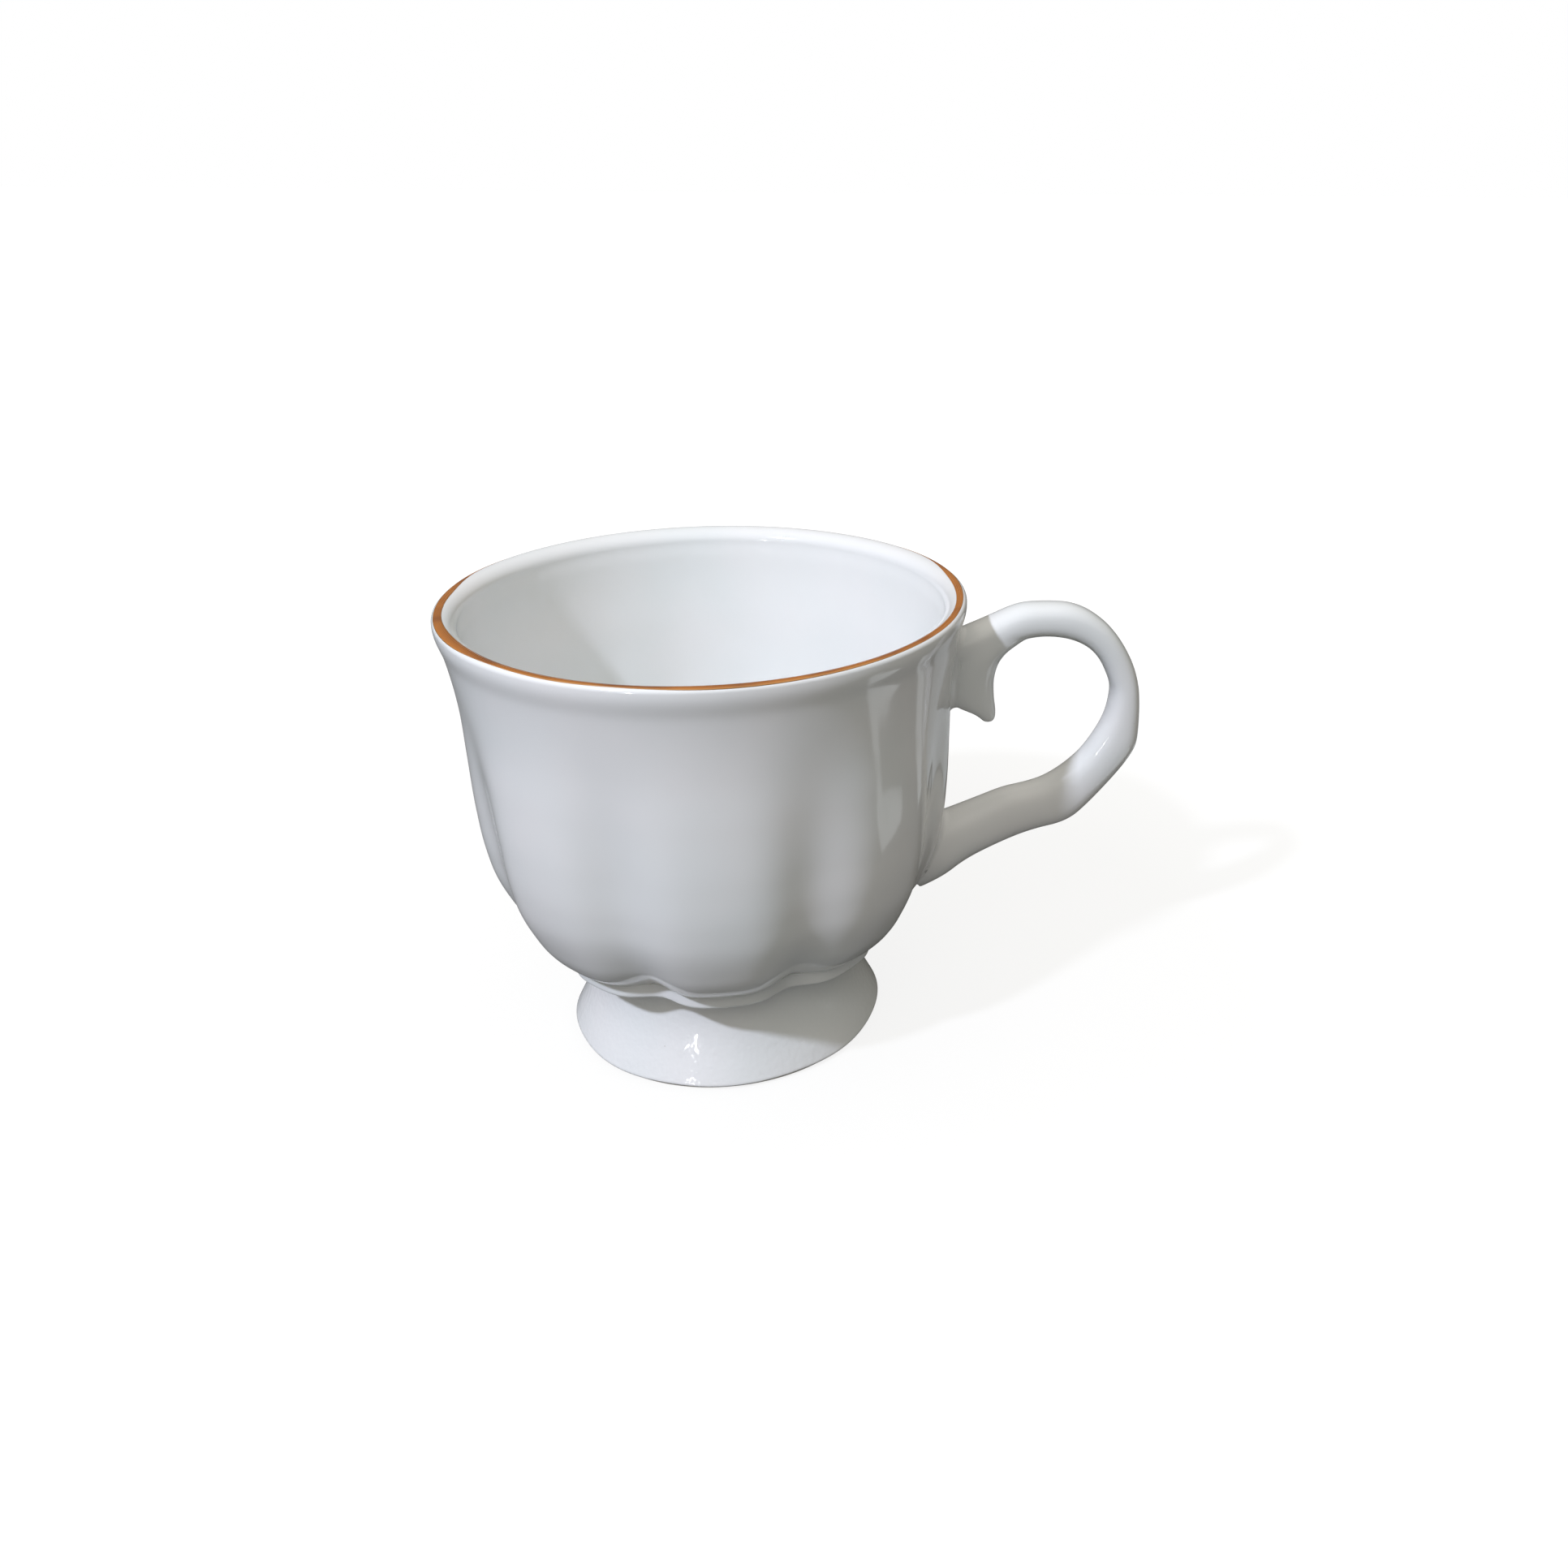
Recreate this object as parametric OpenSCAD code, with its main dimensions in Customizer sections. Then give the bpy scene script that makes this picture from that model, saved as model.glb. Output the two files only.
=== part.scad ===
// Footed porcelain teacup with a scalloped bowl. Millimetres, +Z up.
// The origin is the centre of the standing ring, on the table. The handle points along +X.

/* [Bowl] */
// Outer diameter of the lip
rim_d = 90; // [84:1:98]
// Height of the cup, from the table to the crest of the rim line
cup_h = 82.6; // [78:0.2:90]
// Diameter over the lobes at the scalloped lower edge of the bowl
base_d = 61; // [59:0.2:64]
// Thickness of the bowl's wall, rounded over at the lip
wall_t = 2.4; // [2:0.1:3]
// Thickness of the bowl's floor
floor_t = 3.2; // [2.4:0.1:4]
// Height over which the wall curves in to the floor, inside
floor_curve_h = 20; // [14:0.5:26]
// Number of lobes round the bowl
lobe_count = 8; // [4:4:12]
// Depth of the valleys between the lobes, at the scalloped edge
valley_depth = 3.5; // [1:0.1:4]

/* [Rim line] */
// Thickness of the enamel of the rim line
line_t = 0.1; // [0.05:0.01:0.2]
// How far the line reaches over the crest towards the inside, in degrees of the lip's rounding
line_inner_angle = 15; // [5:1:40]
// How far the line reaches down the outside, in degrees of the lip's rounding
line_outer_angle = 52; // [30:1:70]

/* [Foot] */
// Diameter of the foot at its lower edge
foot_d = 57.6; // [54:0.2:62]
// Height of the foot, with its standing ring
foot_h = 18.3; // [15.6:0.1:21.4]
// Thickness of the foot's wall
foot_wall_t = 2.8; // [2.2:0.1:3.4]
// Radius that rounds the foot's lower edge
foot_edge_r = 0.9; // [0.5:0.1:1.4]
// Height of the scalloped collar between foot and bowl
collar_h = 2.2; // [1.6:0.1:2.8]
// Diameter over the lobes at the lower edge of the collar
collar_d = 60.2; // [59:0.2:61.4]
// Depth of the valleys at the lower edge of the collar
collar_valley_depth = 3.1; // [1:0.1:3.6]
// How far the foot's top stands in from the lower edge of the collar
foot_top_inset = 6.2; // [5.4:0.1:7.2]
// How far the collar stands back from the bowl's scalloped edge
collar_inset = 0.3; // [0.1:0.1:0.8]
// Height of the unglazed standing ring
ring_h = 0.6; // [0.3:0.1:1]
// Width of the unglazed standing ring
ring_w = 2.6; // [1.8:0.1:3.2]

/* [Handle] */
// How far the loop stands out from the lip
handle_reach = 34; // [28:0.5:40]
// How far the top of the loop lies below the crest of the rim line
handle_drop = 3.3; // [0.6:0.1:7.6]
// Height of the middle of the lower root above the bowl's scalloped edge
handle_root_lift = 10.5; // [7.5:0.5:13.5]
// Thickness of the loop at its slimmest, seen from the side
grip_t = 5.4; // [4.8:0.1:6.2]
// Width of the loop at its slimmest, seen from behind
grip_w = 7.2; // [6:0.1:8.6]
// Radius of the spur's tip
spur_tip_r = 1.5; // [1.1:0.1:2]
// Radius of the spur where it leaves the upper arm
spur_root_r = 3.4; // [2.8:0.1:4]
// Radius of the bead of slip round each root of the handle
bead_r = 1.5; // [1.1:0.1:2]

/* [Hidden] */

glaze = "#e6e8ea";
enamel = "#a8622e";
bisque = "#d9d2c4";

// Steps of the meshes
steps_per_lobe = 10;
around = lobe_count * steps_per_lobe;
wall_steps = 26;
lip_steps = 6;
inner_steps = 14;
round_fn = 96;
ball_fn = 20;
loop_sides = 16;
loop_steps = 3;
foot_steps = 18;
collar_steps = 2;
spur_steps = 8;
bead_steps = 20;
// Overrun of every cut
overrun = 1;
// A quarter of a turn, in degrees
quarter_turn = 90;

// Places that follow from the sizes
rim_r = rim_d / 2;
base_r = base_d / 2;
foot_top_d = collar_d - 2 * foot_top_inset;
lip_r = wall_t / 2;
lip_z = cup_h - line_t - lip_r;
bowl_z = foot_h + collar_h;
bowl_h = lip_z - bowl_z;
floor_z = bowl_z + floor_t;
inner_h = lip_z - floor_z;

// Outline of the bowl: heights as shares of the bowl, and how far the wall has
// come at each from the scalloped edge out to the lip
bowl_height_shares = [0, 0.02, 0.05, 0.09, 0.15, 0.22, 0.31, 0.44, 0.61, 0.76, 0.86, 0.93, 1];
bowl_reach_shares = [0, 0.13, 0.28, 0.41, 0.54, 0.655, 0.735, 0.787, 0.81, 0.83, 0.875, 0.925, 1];
// Depth of the valleys at the same heights, as shares of their depth at the edge
valley_shares = [1, 1, 0.94, 0.78, 0.62, 0.52, 0.48, 0.42, 0.2, 0.04, 0, 0, 0];
// How much of a valley shows inside, and how narrow a valley is
inner_valley_share = 0.5;
valley_power = 2;
// Power of the curve from the wall in to the floor
floor_power = 2.5;
// How much closer the inner rows stand towards the floor
inner_row_power = 1.5;

// Outline of the foot above its rounded lower edge: heights as shares of the
// foot, and the outline's place between its top, at 0, and its lower edge, at 1
foot_height_shares = [0, 0.107, 0.268, 0.446, 0.625, 0.759, 0.893, 1];
foot_reach_shares = [1, 0.81, 0.52, 0.25, 0.08, 0.02, 0, 0];

// Middle line of the loop, from the upper root round to the lower one: place
// across as a share of the reach, height as a share of the rise, then half the
// thickness and half the width as shares of those at the slimmest place
loop_shares = [
    [-0.1, 0.813, 2.19, 1.4],
    [0.09, 0.866, 1.86, 1.22],
    [0.225, 0.918, 1.7, 1.08],
    [0.36, 0.97, 1.38, 1],
    [0.525, 1, 1.25, 1],
    [0.705, 0.972, 1.2, 1],
    [0.86, 0.885, 1.08, 1],
    [0.95, 0.75, 1, 1],
    [0.985, 0.61, 1.12, 1],
    [0.95, 0.47, 1.42, 1],
    [0.835, 0.335, 1.56, 1],
    [0.69, 0.232, 1.66, 1],
    [0.53, 0.168, 1.74, 1],
    [0.3, 0.124, 1.76, 1.06],
    [0.09, 0.07, 1.82, 1.24],
    [-0.08, 0, 2.1, 1.45],
    [-0.22, -0.04, 2.05, 1.45]
];
// Which of them is the top of the loop
top_station = 4;
// The two edges of the spur's web, each a curve through three points, as shares
// of the reach and of the rise: from the upper arm and from the wall to the tip
spur_front_shares = [[0.18, 0.85], [0.16, 0.722], [0.22, 0.592]];
spur_back_shares = [[-0.02, 0.84], [0.03, 0.683], [0.188, 0.604]];
// Half width of the upper bead, and half height and half width of the lower
// one, as shares of the grip's thickness and width
upper_bead_width_share = 0.64;
lower_bead_shares = [1.4, 0.66];

// A smooth curve through the points of a table, at x
function slope(xs, ys, i) = let (n = len(xs) - 1)
    i == 0 ? (ys[1] - ys[0]) / (xs[1] - xs[0]) :
    i == n ? 0 :
    ((ys[i] - ys[i - 1]) / (xs[i] - xs[i - 1]) * (xs[i + 1] - xs[i])
    + (ys[i + 1] - ys[i]) / (xs[i + 1] - xs[i]) * (xs[i] - xs[i - 1])) / (xs[i + 1] - xs[i - 1]);
function span_of(xs, x, i = 0) = i >= len(xs) - 2 || x < xs[i + 1] ? i : span_of(xs, x, i + 1);
function hermite(a, b, da, db, t) = a * (1 + 2 * t) * (1 - t) * (1 - t) + b * t * t * (3 - 2 * t)
    + da * t * (1 - t) * (1 - t) - db * t * t * (1 - t);
function curve_at(xs, ys, x) = let (i = span_of(xs, x), w = xs[i + 1] - xs[i])
    hermite(ys[i], ys[i + 1], slope(xs, ys, i) * w, slope(xs, ys, i + 1) * w, (x - xs[i]) / w);
function mix(a, b, t) = a + (b - a) * t;

// The bowl's outer wall at a height, over a lobe, and the depth of a valley there
function bowl_curve(shares, z) = curve_at(bowl_height_shares, shares, (z - bowl_z) / bowl_h);
function lobe_r(z) = mix(base_r, rim_r, bowl_curve(bowl_reach_shares, z));
function valley_d(z) = valley_depth * bowl_curve(valley_shares, z);
// 0 on the middle of a lobe and 1 in a valley
function valley_at(angle) = pow((1 - cos(lobe_count * angle)) / 2, valley_power);
function outer_r(angle, z) = lobe_r(z) - valley_d(z) * valley_at(angle);
// How far the inner wall has come from the axis, on its way up from the floor
function floor_share(z) = z > floor_z + floor_curve_h ? 1 :
    pow(1 - pow((floor_z + floor_curve_h - z) / floor_curve_h, floor_power), 1 / floor_power);
function inner_r(angle, z) = (lobe_r(z) - wall_t - inner_valley_share * valley_d(z) * valley_at(angle))
    * floor_share(z);

// Rings of points round the axis, and a closed skin over a stack of them
function ring_at(r_of, z) = [for (i = [0:around - 1]) let (a = 360 * i / around) [
    r_of(a, z) * cos(a), r_of(a, z) * sin(a), z]];
function wall_rings() = [for (i = [0:wall_steps])
    ring_at(function (a, z) outer_r(a, z), bowl_z + bowl_h * i / wall_steps)];
function lip_rings() = [for (i = [1:lip_steps]) let (t = 180 * i / lip_steps)
    ring_at(function (a, z) rim_r - lip_r + lip_r * cos(t), lip_z + lip_r * sin(t))];
function inner_rings() = [for (i = [1:inner_steps - 1]) let (t = quarter_turn * i / inner_steps)
    ring_at(function (a, z) inner_r(a, z), floor_z + inner_h * pow(cos(t), inner_row_power))];

module skin(rings, low, high) {
    rows = len(rings);
    cols = len(rings[0]);
    points = concat([for (r = rings) each r], [low, high]);
    sides = [for (r = [0:rows - 2]) for (c = [0:cols - 1]) let (
        a = r * cols + c, b = r * cols + (c + 1) % cols)
        each [[a, a + cols, b], [b, a + cols, b + cols]]];
    bottom = [for (c = [0:cols - 1]) [rows * cols, c, (c + 1) % cols]];
    last = (rows - 1) * cols;
    top = [for (c = [0:cols - 1]) [rows * cols + 1, last + (c + 1) % cols, last + c]];
    polyhedron(points, concat(sides, bottom, top));
}

// The bowl's outside as a solid block, which trims what is stuck to the bowl
module bowl_block() {
    skin(wall_rings(), [0, 0, bowl_z], [0, 0, lip_z]);
}

module bowl() {
    color(glaze)
        skin(concat(wall_rings(), lip_rings(), inner_rings()), [0, 0, bowl_z], [0, 0, floor_z]);
}

module rim_line() {
    reach = lip_r + line_t;
    angles = [for (i = [0:lip_steps])
        mix(quarter_turn - line_outer_angle, quarter_turn + line_inner_angle, i / lip_steps)];
    outer = [for (a = angles) [rim_r - lip_r + reach * cos(a), lip_z + reach * sin(a)]];
    inner = [for (i = [lip_steps:-1:0]) let (a = angles[i])
        [rim_r - lip_r + lip_r * cos(a), lip_z + lip_r * sin(a)]];
    color(enamel)
        rotate_extrude($fn = round_fn)
            polygon(concat(outer, inner));
}

// The collar's outer radius, from its lower edge, at 0, to the bowl, at 1
function collar_r(angle, t) = mix(collar_d / 2 - collar_valley_depth * valley_at(angle),
    outer_r(angle, bowl_z) - collar_inset, t);

module foot_joint() {
    rings = [for (i = [0:collar_steps]) let (t = i / collar_steps)
        ring_at(function (a, z) collar_r(a, t), foot_h + collar_h * t)];
    color(glaze)
        difference() {
            skin(rings, [0, 0, foot_h], [0, 0, bowl_z]);
            translate([0, 0, foot_h - overrun])
                cylinder(h = collar_h + 2 * overrun, r = foot_top_d / 2 - foot_wall_t, $fn = round_fn);
        }
}

// The foot's outer radius at a height, and the heights of its outline going up
foot_low_z = ring_h + foot_edge_r;
function foot_r(z) = mix(foot_top_d, foot_d,
    curve_at(foot_height_shares, foot_reach_shares, (z - foot_low_z) / (foot_h - foot_low_z))) / 2;
function foot_heights() = [for (i = [0:foot_steps]) mix(foot_low_z, foot_h, i / foot_steps)];

module foot() {
    low_r = foot_r(foot_low_z);
    edge = [for (a = [-90:30:-30]) [low_r - foot_edge_r + foot_edge_r * cos(a),
        foot_low_z + foot_edge_r * sin(a)]];
    outer = [for (z = foot_heights()) [foot_r(z), z]];
    inner = [for (i = [foot_steps:-1:0]) let (z = foot_heights()[i]) [foot_r(z) - foot_wall_t, z]];
    inner_edge = [[low_r - foot_wall_t - ring_h, ring_h]];
    color(glaze)
        rotate_extrude($fn = round_fn)
            polygon(concat(edge, outer, inner, inner_edge));
}

module standing_ring() {
    ring_r = foot_r(foot_low_z) - foot_edge_r;
    color(bisque)
        difference() {
            cylinder(h = ring_h, r = ring_r, $fn = round_fn);
            translate([0, 0, -overrun])
                cylinder(h = ring_h + 2 * overrun, r = ring_r - ring_w, $fn = round_fn);
        }
}

// Places in the handle's plane from shares of its reach and of its rise
handle_top_h = cup_h - handle_drop;
handle_root_h = bowl_z + handle_root_lift;
root_x = lobe_r((handle_top_h + handle_root_h) / 2);
loop_x = rim_r + handle_reach - grip_t / 2;
loop_top_z = handle_top_h - grip_t / 2 * loop_shares[top_station][2];
function across(share) = mix(root_x, loop_x, share);
function up(share) = mix(handle_root_h, loop_top_z, share);

// The loop's stations, and a smooth run through them
function station(i, k) = loop_shares[min(max(i, 0), len(loop_shares) - 1)][k];
function run_at(i, t, k) = let (a = station(i, k), b = station(i + 1, k))
    hermite(a, b, (b - station(i - 1, k)) / 2, (station(i + 2, k) - a) / 2, t);
function loop_point(i, t) = [across(run_at(i, t, 0)), up(run_at(i, t, 1))];
function loop_ring(i, t) = let (
    p = loop_point(i, t),
    step = 1 / (loop_steps * loop_sides),
    d = t > 0.5 ? p - loop_point(i, t - step) : loop_point(i, t + step) - p,
    side = [d[1], -d[0]] / norm(d),
    half_t = run_at(i, t, 2) * grip_t / 2,
    half_w = run_at(i, t, 3) * grip_w / 2)
    [for (k = [0:loop_sides - 1]) let (a = 360 * k / loop_sides)
        [p[0] + side[0] * half_t * cos(a), half_w * sin(a), p[1] + side[1] * half_t * cos(a)]];
function middle(ring) = (ring[0] + ring[loop_sides / 2]) / 2;

module loop() {
    last = len(loop_shares) - 1;
    rings = concat([for (i = [0:last - 1]) for (s = [0:loop_steps - 1]) loop_ring(i, s / loop_steps)],
        [loop_ring(last - 1, 1)]);
    skin(rings, middle(rings[0]), middle(rings[len(rings) - 1]));
}

// A point on a curve that three points pull, as shares, at t from 0 to 1
function pulled(shares, t) = (1 - t) * (1 - t) * shares[0] + 2 * t * (1 - t) * shares[1] + t * t * shares[2];

module spur_ball(shares, t) {
    p = pulled(shares, t);
    translate([across(p[0]), 0, up(p[1])])
        sphere(mix(spur_root_r, spur_tip_r, t), $fn = ball_fn);
}

module spur() {
    for (i = [0:spur_steps - 1])
        hull() {
            spur_ball(spur_front_shares, i / spur_steps);
            spur_ball(spur_back_shares, i / spur_steps);
            spur_ball(spur_front_shares, (i + 1) / spur_steps);
            spur_ball(spur_back_shares, (i + 1) / spur_steps);
        }
}

module handle_blank() {
    loop();
    spur();
}

module handle() {
    color(glaze)
        difference() {
            handle_blank();
            bowl_block();
        }
}

// A ring of slip on the bowl's wall, round a root of the handle
module bead_ball(mid_z, half_h, half_w, a) {
    y = half_w * cos(a);
    z = mid_z + half_h * sin(a);
    r = outer_r(asin(y / lobe_r(z)), z);
    translate([sqrt(r * r - y * y), y, z])
        sphere(bead_r, $fn = ball_fn);
}

module bead(mid_z, half_h, half_w) {
    color(glaze)
        difference() {
            for (i = [0:bead_steps - 1])
                hull() {
                    bead_ball(mid_z, half_h, half_w, 360 * i / bead_steps);
                    bead_ball(mid_z, half_h, half_w, 360 * (i + 1) / bead_steps);
                }
            handle_blank();
            bowl_block();
        }
}

// It runs from the top of the upper arm down to the spur's lower edge
module upper_handle_joint() {
    high = up(loop_shares[1][1]) + loop_shares[1][2] * grip_t / 2;
    low = up(spur_back_shares[1][1]) - (spur_root_r + spur_tip_r) / 2;
    bead((high + low) / 2, (high - low) / 2, upper_bead_width_share * grip_w);
}

module lower_handle_joint() {
    bead(handle_root_h, lower_bead_shares[0] * grip_t, lower_bead_shares[1] * grip_w);
}

bowl();
rim_line();
foot_joint();
foot();
standing_ring();
handle();
upper_handle_joint();
lower_handle_joint();
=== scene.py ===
"""A white porcelain teacup with a scalloped bowl, a coloured rim line, a spread
foot and a looped handle, dressed round its construction model."""

import math
from functools import partial

import bmesh
import bpy
import numpy as np
from bpy.props import (
    FloatProperty,
    FloatVectorProperty,
    IntProperty,
    PointerProperty,
)
from bpy.types import Operator, Panel, PropertyGroup
from mathutils import Matrix, Vector
from mathutils.bvhtree import BVHTree


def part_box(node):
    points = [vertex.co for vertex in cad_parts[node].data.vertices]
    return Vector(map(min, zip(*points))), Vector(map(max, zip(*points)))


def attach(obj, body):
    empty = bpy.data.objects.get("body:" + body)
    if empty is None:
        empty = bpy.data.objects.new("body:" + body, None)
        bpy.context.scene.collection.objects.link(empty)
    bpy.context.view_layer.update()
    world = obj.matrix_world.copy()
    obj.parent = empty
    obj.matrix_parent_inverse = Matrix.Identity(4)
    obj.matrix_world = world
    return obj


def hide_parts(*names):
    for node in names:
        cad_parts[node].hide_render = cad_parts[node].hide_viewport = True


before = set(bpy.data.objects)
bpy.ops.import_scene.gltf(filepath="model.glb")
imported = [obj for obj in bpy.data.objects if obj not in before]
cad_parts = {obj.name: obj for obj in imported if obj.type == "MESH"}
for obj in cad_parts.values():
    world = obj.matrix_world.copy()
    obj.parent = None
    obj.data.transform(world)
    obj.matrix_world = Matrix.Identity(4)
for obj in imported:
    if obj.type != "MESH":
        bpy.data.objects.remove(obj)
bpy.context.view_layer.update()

bl_info = {
    "name": "Scalloped teacup",
    "version": (1, 0, 0),
    "blender": (4, 5, 0),
    "location": "3D View > Sidebar > Teacup",
    "description": "Makes a porcelain teacup with a scalloped bowl and a looped handle",
    "category": "Add Mesh",
}

MM = 0.001
PHOTO_PIXELS = 1932
# Points that lie closer together than this are one
MERGE_DISTANCE = 0.004 * MM
BOWL_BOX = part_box("bowl")
COLLAR_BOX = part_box("foot_joint")
FOOT_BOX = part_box("foot")
RING_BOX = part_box("standing_ring")
HANDLE_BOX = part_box("handle")

# The bowl's outside from its scalloped edge, at 0, to the lip, at 1: heights,
# how far the wall has come out, and how deep the valleys between lobes are
BOWL_HEIGHTS = (0, 0.02, 0.05, 0.09, 0.15, 0.22, 0.31, 0.44, 0.61, 0.76, 0.86, 0.93, 1)
BOWL_REACHES = (0, 0.13, 0.28, 0.41, 0.54, 0.655, 0.735, 0.787, 0.81, 0.83, 0.875, 0.925, 1)
VALLEY_DEPTHS = (1, 1, 0.94, 0.8, 0.67, 0.6, 0.58, 0.53, 0.33, 0.12, 0.03, 0, 0)
# How narrow the valleys are on the bowl and on the round pieces, how much of them
# shows inside, and how square the floor's curve is
VALLEY_POWER = 2.6
ROUND_POWER = 1.0
INNER_VALLEY = 0.4
FLOOR_POWER = 2.5

# The foot's outside above its rounded edge: heights, and how far it spreads
FOOT_HEIGHTS = (0, 0.107, 0.268, 0.446, 0.625, 0.759, 0.893, 1)
FOOT_SPREADS = (1, 0.81, 0.52, 0.25, 0.08, 0.02, 0, 0)

# The handle's middle line from the upper root round to the lower one: place
# across, height, half thickness and half width, as shares of the sizes
LOOP = (
    (-0.1, 0.813, 2.19, 1.14),
    (0.09, 0.866, 1.86, 1.1),
    (0.225, 0.918, 1.7, 1.07),
    (0.36, 0.97, 1.38, 1.03),
    (0.525, 1, 1.25, 1),
    (0.705, 0.972, 1.2, 1),
    (0.86, 0.885, 1.08, 1),
    (0.95, 0.75, 1, 1),
    (0.985, 0.61, 1.12, 1),
    (0.95, 0.47, 1.42, 1),
    (0.835, 0.335, 1.56, 1),
    (0.69, 0.232, 1.66, 1),
    (0.53, 0.168, 1.74, 1),
    (0.3, 0.124, 1.76, 1.06),
    (0.09, 0.07, 1.82, 1.24),
    (-0.08, 0, 2.1, 1.45),
    (-0.22, -0.04, 2.05, 1.45),
)
# The handle seen from its side, in millimetres across and up: the outline of
# its outer and of its inner edge, both from the upper root to the lower one
OUTER_EDGE = (
    (36, 71.5), (41, 73.4), (44.7, 74.9), (49.5, 76.8), (53, 78.4), (56, 79.3),
    (61.6, 79.3), (65.4, 78.8), (69.2, 77), (73.2, 73.5), (76.6, 68), (78.3, 63),
    (78.7, 58.4), (78.8, 51.8), (78.2, 49.2), (75.6, 45.2), (69.6, 38.2), (65.6, 34.6),
    (58.7, 33.3), (53.2, 31.3), (46.1, 28), (42.2, 24.8), (37, 22.3), (33.5, 20.8),
)
INNER_EDGE = (
    (34, 63.5), (39, 65.5), (44, 67.2), (49, 68.8), (53, 70.4), (55.9, 71.8), (60.4, 72.2),
    (65.7, 71.1), (69.7, 68.1), (72.3, 62.8), (72.6, 60.4), (71.9, 56.3), (69.7, 52.3),
    (66.8, 48.3), (61.4, 44.4), (56.8, 43.1), (53.2, 42.6), (47.5, 40.4), (42.1, 38.4),
    (38, 36.9), (33, 35),
)
# The thumb spur from the upper arm down to its tip: its front edge and its
# back edge, across and up, and its half width, in millimetres
SPUR = (
    (57.5, 73, 38, 70.5, 3.9),
    (55.6, 71.9, 39, 68, 3.85),
    (53.2, 70.2, 40, 65.6, 3.75),
    (51.5, 67.8, 41, 63.3, 3.5),
    (50.75, 64.6, 42, 60.9, 3.1),
    (50.85, 61.2, 44, 59.3, 2.6),
    (51.2, 58.4, 46.9, 57.9, 2.1),
    (51.1, 57, 48.6, 56.6, 1.7),
)
# How square the handle is across: 2 is an ellipse, more has flatter sides
SQUARENESS = 2.5
# How much of its half width the camera's slant adds to the handle's outline,
# where the handle runs upright and where it runs level, and the least share of
# the outline that is its own thickness
WIDTH_SEEN = (0.287, 0.416)
LEAST_THICKNESS = 0.7
# How far the handle's roots reach into the bowl's wall
ROOT_DEPTH = 0.9 * MM

# The rim line's edges round the lip, in millimetres out from its crest, and
# how thick the enamel lies: bearing from the front, inner edge, outer edge, load
LINE_EDGES = (
    (-180, 0.55, 0.73, 1),
    (-150, 0.55, 0.73, 1),
    (-125, 0.4, 0.68, 1),
    (-112, 0.05, 0.6, 1),
    (-100, -0.85, 0.3, 1),
    (-90, -0.95, 0.3, 1),
    (-75, -1.12, 0.44, 1),
    (-60, -1.75, 0.4, 1),
    (-45, -2.2, 0.12, 1),
    (-30, -1.95, 0.3, 0.8),
    (-15, -1.95, 0.28, 0.72),
    (0, -1.8, 0.5, 0.7),
    (15, -1.7, 0.52, 0.7),
    (30, -1.8, 0.38, 0.78),
    (45, -1.75, 0.24, 0.88),
    (60, -1.25, 0.18, 1),
    (75, -1.06, 0.12, 1),
    (90, -1.1, 0.2, 1),
    (100, -0.85, 0.35, 1),
    (112, -0.1, 0.55, 1),
    (125, 0.4, 0.68, 1),
    (150, 0.55, 0.73, 1),
    (180, 0.55, 0.73, 1),
)


def srgb(code):
    """A hex colour as linear red, green and blue."""
    parts = [int(code[i : i + 2], 16) / 255 for i in (1, 3, 5)]
    return [p / 12.92 if p <= 0.04045 else ((p + 0.055) / 1.055) ** 2.4 for p in parts]


def amount(default, name, description, **more):
    """A number that isn't below zero."""
    return FloatProperty(name=name, description=description, default=default, min=0, **more)


def length(default_mm, name, description):
    """A size that is kept in metres and given here in millimetres."""
    return amount(default_mm * MM, name, description, subtype="DISTANCE", unit="LENGTH")


def direction(default_degrees, name, description):
    """An angle that is kept in radians and given here in degrees."""
    default = math.radians(default_degrees)
    return FloatProperty(name=name, description=description, default=default, subtype="ANGLE")


def shade(code, name, description):
    """A colour that is given as a hex value."""
    default = (*srgb(code), 1)
    return FloatVectorProperty(
        name=name, description=description, default=default, size=4, min=0, max=1, subtype="COLOR"
    )


# Where the lamps look, and where the soft box and the strip stand, in metres
AIM = Vector((0.004, 0, 0.042))
SOFT_BOX_PLACE = Vector((-0.15, -0.9, 0.75))
STRIP_PLACE = Vector((-0.46, -0.79, 0.13))
# Half the floor's size, and the distances from the cup between which the camera
# sees it turn white, in metres
FLOOR_REACH = 3.0
FLOOR_FADE = (0.1, 0.35)
# Cards that lie beside the cup, just above the table: their corners across and
# along the table in millimetres, and how bright they are
CARD_HEIGHT = 1 * MM
REFLECTORS = (
    (
        "side_card",
        ((97, -36), (120, -51), (145, -54), (148, -46), (134, -43), (138, -30), (135, -9), (121, -14)),
        1.4,
    ),
    ("far_card", ((118, 24), (153, 24), (150, 50), (118, 50)), 1.0),
    ("back_card", ((84, 60), (150, 64), (172, 150), (84, 150)), 0.5),
)


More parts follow.
